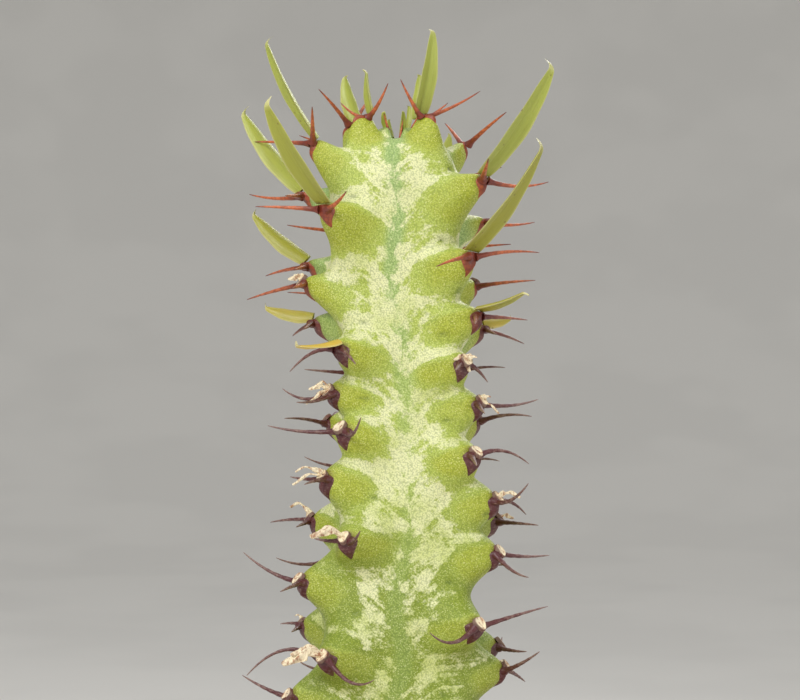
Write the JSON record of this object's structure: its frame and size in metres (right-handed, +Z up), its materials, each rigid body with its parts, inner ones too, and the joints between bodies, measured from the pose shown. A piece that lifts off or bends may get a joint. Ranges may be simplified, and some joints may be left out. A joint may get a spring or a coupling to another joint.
{
  "type": "potted euphorbia",
  "caption": "Spiny ribbed succulent stem with narrow leaves near its tip and paired spines on shields, rooted in soil in a plain tapered clay pot.",
  "frame": {"origin": "centre of the pot's underside, on the surface the pot stands on", "axes": "+Z up along the pot's axis and the stem, -Y the plant's front, +X to the right of someone who faces the front"},
  "size_m": [0.0986, 0.0986, 0.244],
  "materials": {
    "clay": "matt unglazed clay with a chalky bloom",
    "soil": "loose gritty potting soil",
    "stem_skin": "waxy grained skin, lime green with pale feathery marbling",
    "leaf": "satin lime-green blade with pale edges",
    "spine_horn": "satin horn, orange-red when young and dry grey-brown with age"
  },
  "bodies": {
    "root": {"pot": "clay", "soil": "soil", "stem": "stem_skin", "leaf_front_left_01": "leaf", "leaf_front_left_02": "leaf", "leaf_front_left_03": "leaf", "leaf_front_left_05": "leaf", "leaf_front_right_01": "leaf", "leaf_front_right_02": "leaf", "leaf_front_right_03": "leaf", "leaf_front_right_04": "leaf", "leaf_back_left_01": "leaf", "leaf_back_left_02": "leaf", "leaf_back_left_03": "leaf", "leaf_back_left_04": "leaf", "leaf_back_left_05": "leaf", "leaf_back_left_07": "leaf", "leaf_back_right_01": "leaf", "leaf_back_right_03": "leaf", "leaf_back_right_05": "leaf", "leaf_back_right_07": "leaf", "spines_front_left_01": "spine_horn", "spines_front_left_02": "spine_horn", "spines_front_left_03": "spine_horn", "spines_front_left_04": "spine_horn", "spines_front_left_05": "spine_horn", "spines_front_left_06": "spine_horn", "spines_front_left_07": "spine_horn", "spines_front_left_08": "spine_horn", "spines_front_left_09": "spine_horn", "spines_front_left_10": "spine_horn", "spines_front_right_01": "spine_horn", "spines_front_right_02": "spine_horn", "spines_front_right_03": "spine_horn", "spines_front_right_04": "spine_horn", "spines_front_right_05": "spine_horn", "spines_front_right_06": "spine_horn", "spines_front_right_07": "spine_horn", "spines_front_right_08": "spine_horn", "spines_front_right_09": "spine_horn", "spines_front_right_10": "spine_horn", "spines_back_left_01": "spine_horn", "spines_back_left_02": "spine_horn", "spines_back_left_03": "spine_horn", "spines_back_left_04": "spine_horn", "spines_back_left_05": "spine_horn", "spines_back_left_06": "spine_horn", "spines_back_left_07": "spine_horn", "spines_back_left_08": "spine_horn", "spines_back_left_09": "spine_horn", "spines_back_left_10": "spine_horn", "spines_back_right_01": "spine_horn", "spines_back_right_02": "spine_horn", "spines_back_right_03": "spine_horn", "spines_back_right_04": "spine_horn", "spines_back_right_05": "spine_horn", "spines_back_right_06": "spine_horn", "spines_back_right_07": "spine_horn", "spines_back_right_08": "spine_horn", "spines_back_right_09": "spine_horn"}
  },
  "joints": []
}
